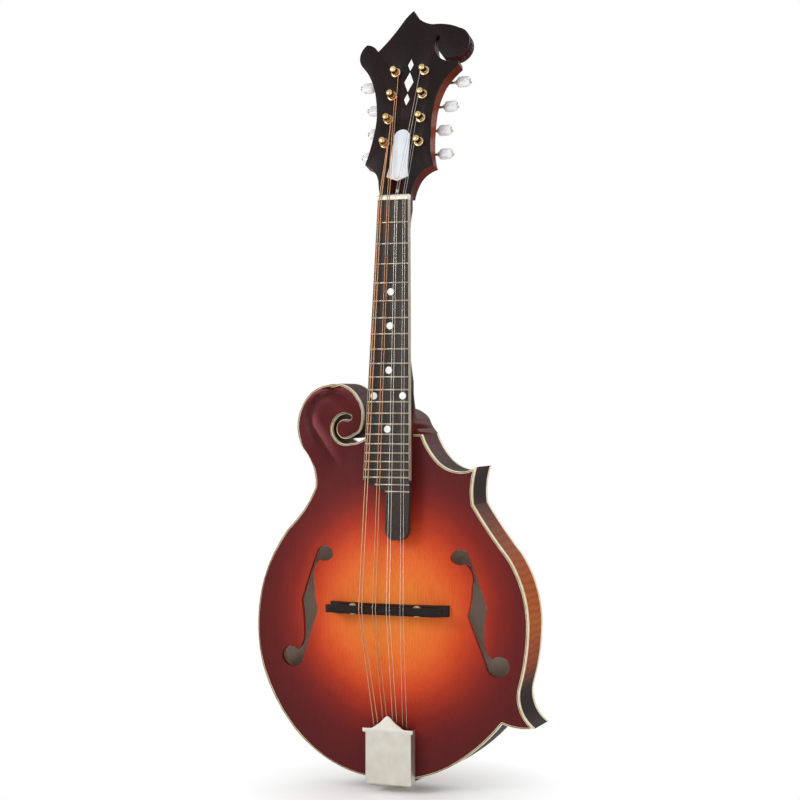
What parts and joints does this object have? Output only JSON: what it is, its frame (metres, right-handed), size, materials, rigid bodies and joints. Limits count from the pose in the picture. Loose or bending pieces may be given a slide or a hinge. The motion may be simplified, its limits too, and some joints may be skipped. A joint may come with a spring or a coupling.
{
  "type": "mandolin",
  "caption": "F-style mandolin: carved arched body with scroll and f-holes, worm-gear tuners, height-adjustable bridge and a slide-off tailpiece cover.",
  "frame": {"origin": "seat of the end pin at the tail, on the centreline and half way through the rim's depth", "axes": "+Z from tail to peghead, -Y out of the carved top, +X to the treble side seen from the front"},
  "size_m": [0.2584, 0.1048, 0.6899],
  "materials": {
    "top_wood": "satin orange sunburst, dark burgundy edge",
    "back_wood": "satin brown-red stained maple",
    "rim_wood": "satin amber to burgundy",
    "binding": "cream",
    "inner_wood": "bare",
    "ebony": "satin dark",
    "fret_metal": "polished nickel brass",
    "pearl": "pearly white",
    "peghead_face": "black-brown gloss",
    "neck_wood": "satin amber brown",
    "rod_steel": "plain",
    "cover_plastic": "white",
    "nut_bone": "bone white",
    "tuner_metal": "nickel plated",
    "button_pearl": "pearly white",
    "bridge_wood": "black ebony",
    "wheel_metal": "nickel brass",
    "tail_metal": "satin nickel",
    "pin_plastic": "tan",
    "wound_metal": "bronze wound",
    "plain_steel": "plain steel"
  },
  "bodies": {
    "mandolin": {"top_plate": "top_wood", "back_plate": "back_wood", "rim": "rim_wood", "top_binding": "binding", "back_binding": "binding", "head_block": "inner_wood", "tail_block": "inner_wood", "point_blocks": "inner_wood", "linings": "inner_wood", "tone_bars": "inner_wood", "fingerboard": "ebony", "fingerboard_binding": "binding", "position_dots": "pearl", "frets": "fret_metal", "peghead_overlay": "peghead_face", "peghead_inlay": "pearl", "neck": "neck_wood", "truss_rod": "rod_steel", "truss_rod_cover": "cover_plastic", "nut": "nut_bone", "post_bushings": "tuner_metal", "bass_tuner_plate": "tuner_metal", "treble_tuner_plate": "tuner_metal", "bridge_base": "bridge_wood", "bridge_posts": "wheel_metal", "tailpiece_base": "tail_metal", "end_pin": "pin_plastic", "wound_strings": "wound_metal", "plain_strings": "plain_steel"},
    "string_post_bass_1": {"string_post_bass_1": "tuner_metal"},
    "worm_shaft_bass_1": {"worm_shaft_bass_1": "tuner_metal", "tuner_button_bass_1": "button_pearl"},
    "string_post_bass_2": {"string_post_bass_2": "tuner_metal"},
    "worm_shaft_bass_2": {"worm_shaft_bass_2": "tuner_metal", "tuner_button_bass_2": "button_pearl"},
    "string_post_bass_3": {"string_post_bass_3": "tuner_metal"},
    "worm_shaft_bass_3": {"worm_shaft_bass_3": "tuner_metal", "tuner_button_bass_3": "button_pearl"},
    "string_post_bass_4": {"string_post_bass_4": "tuner_metal"},
    "worm_shaft_bass_4": {"worm_shaft_bass_4": "tuner_metal", "tuner_button_bass_4": "button_pearl"},
    "string_post_treble_1": {"string_post_treble_1": "tuner_metal"},
    "worm_shaft_treble_1": {"worm_shaft_treble_1": "tuner_metal", "tuner_button_treble_1": "button_pearl"},
    "string_post_treble_2": {"string_post_treble_2": "tuner_metal"},
    "worm_shaft_treble_2": {"worm_shaft_treble_2": "tuner_metal", "tuner_button_treble_2": "button_pearl"},
    "string_post_treble_3": {"string_post_treble_3": "tuner_metal"},
    "worm_shaft_treble_3": {"worm_shaft_treble_3": "tuner_metal", "tuner_button_treble_3": "button_pearl"},
    "string_post_treble_4": {"string_post_treble_4": "tuner_metal"},
    "worm_shaft_treble_4": {"worm_shaft_treble_4": "tuner_metal", "tuner_button_treble_4": "button_pearl"},
    "bass_thumbwheel": {"bass_thumbwheel": "wheel_metal"},
    "treble_thumbwheel": {"treble_thumbwheel": "wheel_metal"},
    "bridge_saddle": {"bridge_saddle": "bridge_wood"},
    "tailpiece_cover": {"tailpiece_cover": "tail_metal"}
  },
  "joints": [
    {"name": "bass_1_button_turn", "type": "hinge", "parent": "mandolin", "child": "worm_shaft_bass_1", "pos_m": [-0.0162, 0.01816, 0.54658], "axis": [0.9994, -0.01, -0.0318], "continuous": true},
    {"name": "bass_1_post_turn", "type": "hinge", "parent": "mandolin", "child": "string_post_bass_1", "pos_m": [-0.016, 0.01998, 0.55235], "axis": [0, -0.9537, 0.3007], "continuous": true, "deforming": ["wound_strings"]},
    {"name": "bass_2_button_turn", "type": "hinge", "parent": "mandolin", "child": "worm_shaft_bass_2", "pos_m": [-0.01544, 0.02507, 0.56852], "axis": [0.9994, -0.01, -0.0318], "continuous": true},
    {"name": "bass_2_post_turn", "type": "hinge", "parent": "mandolin", "child": "string_post_bass_2", "pos_m": [-0.01523, 0.02689, 0.57429], "axis": [0, -0.9537, 0.3007], "continuous": true, "deforming": ["wound_strings"]},
    {"name": "bass_3_button_turn", "type": "hinge", "parent": "mandolin", "child": "worm_shaft_bass_3", "pos_m": [-0.01467, 0.03199, 0.59045], "axis": [0.9994, -0.01, -0.0318], "continuous": true},
    {"name": "bass_3_post_turn", "type": "hinge", "parent": "mandolin", "child": "string_post_bass_3", "pos_m": [-0.01447, 0.03381, 0.59622], "axis": [0, -0.9537, 0.3007], "continuous": true, "deforming": ["wound_strings"]},
    {"name": "bass_4_button_turn", "type": "hinge", "parent": "mandolin", "child": "worm_shaft_bass_4", "pos_m": [-0.0139, 0.03891, 0.61239], "axis": [0.9994, -0.01, -0.0318], "continuous": true},
    {"name": "bass_4_post_turn", "type": "hinge", "parent": "mandolin", "child": "string_post_bass_4", "pos_m": [-0.0137, 0.04072, 0.61816], "axis": [0, -0.9537, 0.3007], "continuous": true, "deforming": ["wound_strings"]},
    {"name": "treble_1_button_turn", "type": "hinge", "parent": "mandolin", "child": "worm_shaft_treble_1", "pos_m": [0.0162, 0.01816, 0.54658], "axis": [0.9994, 0.01, 0.0318], "continuous": true},
    {"name": "treble_1_post_turn", "type": "hinge", "parent": "mandolin", "child": "string_post_treble_1", "pos_m": [0.016, 0.01998, 0.55235], "axis": [0, -0.9537, 0.3007], "continuous": true, "deforming": ["plain_strings"]},
    {"name": "treble_2_button_turn", "type": "hinge", "parent": "mandolin", "child": "worm_shaft_treble_2", "pos_m": [0.01544, 0.02507, 0.56852], "axis": [0.9994, 0.01, 0.0318], "continuous": true},
    {"name": "treble_2_post_turn", "type": "hinge", "parent": "mandolin", "child": "string_post_treble_2", "pos_m": [0.01523, 0.02689, 0.57429], "axis": [0, -0.9537, 0.3007], "continuous": true, "deforming": ["plain_strings"]},
    {"name": "treble_3_button_turn", "type": "hinge", "parent": "mandolin", "child": "worm_shaft_treble_3", "pos_m": [0.01467, 0.03199, 0.59045], "axis": [0.9994, 0.01, 0.0318], "continuous": true},
    {"name": "treble_3_post_turn", "type": "hinge", "parent": "mandolin", "child": "string_post_treble_3", "pos_m": [0.01447, 0.03381, 0.59622], "axis": [0, -0.9537, 0.3007], "continuous": true, "deforming": ["plain_strings"]},
    {"name": "treble_4_button_turn", "type": "hinge", "parent": "mandolin", "child": "worm_shaft_treble_4", "pos_m": [0.0139, 0.03891, 0.61239], "axis": [0.9994, 0.01, 0.0318], "continuous": true},
    {"name": "treble_4_post_turn", "type": "hinge", "parent": "mandolin", "child": "string_post_treble_4", "pos_m": [0.0137, 0.04072, 0.61816], "axis": [0, -0.9537, 0.3007], "continuous": true, "deforming": ["plain_strings"]},
    {"name": "bass_thumbwheel_turn", "type": "hinge", "parent": "bridge_saddle", "child": "bass_thumbwheel", "pos_m": [-0.0298, -0.03995, 0.1503], "axis": [0, -1, 0], "range_deg": [-400, 760]},
    {"name": "treble_thumbwheel_turn", "type": "hinge", "parent": "bridge_saddle", "child": "treble_thumbwheel", "pos_m": [0.0298, -0.03995, 0.1503], "axis": [0, -1, 0], "range_deg": [-400, 760]},
    {"name": "saddle_lift", "type": "slide", "parent": "mandolin", "child": "bridge_saddle", "axis": [0, -1, 0], "range_m": [-0.00064, 0.00128], "deforming": ["wound_strings", "plain_strings"]},
    {"name": "cover_slide", "type": "slide", "parent": "mandolin", "child": "tailpiece_cover", "axis": [0, 0, -1], "range_m": [0, 0.055]}
  ],
  "couplings": [
    {"joint": "bass_1_post_turn", "follows": "bass_1_button_turn", "ratio": -0.0625},
    {"joint": "bass_2_post_turn", "follows": "bass_2_button_turn", "ratio": -0.0625},
    {"joint": "bass_3_post_turn", "follows": "bass_3_button_turn", "ratio": -0.0625},
    {"joint": "bass_4_post_turn", "follows": "bass_4_button_turn", "ratio": -0.0625},
    {"joint": "treble_1_post_turn", "follows": "treble_1_button_turn", "ratio": 0.0625},
    {"joint": "treble_2_post_turn", "follows": "treble_2_button_turn", "ratio": 0.0625},
    {"joint": "treble_3_post_turn", "follows": "treble_3_button_turn", "ratio": 0.0625},
    {"joint": "treble_4_post_turn", "follows": "treble_4_button_turn", "ratio": 0.0625},
    {"joint": "bass_thumbwheel_turn", "follows": "saddle_lift", "rad_per_m": 9894.8},
    {"joint": "treble_thumbwheel_turn", "follows": "saddle_lift", "rad_per_m": 9894.8}
  ]
}
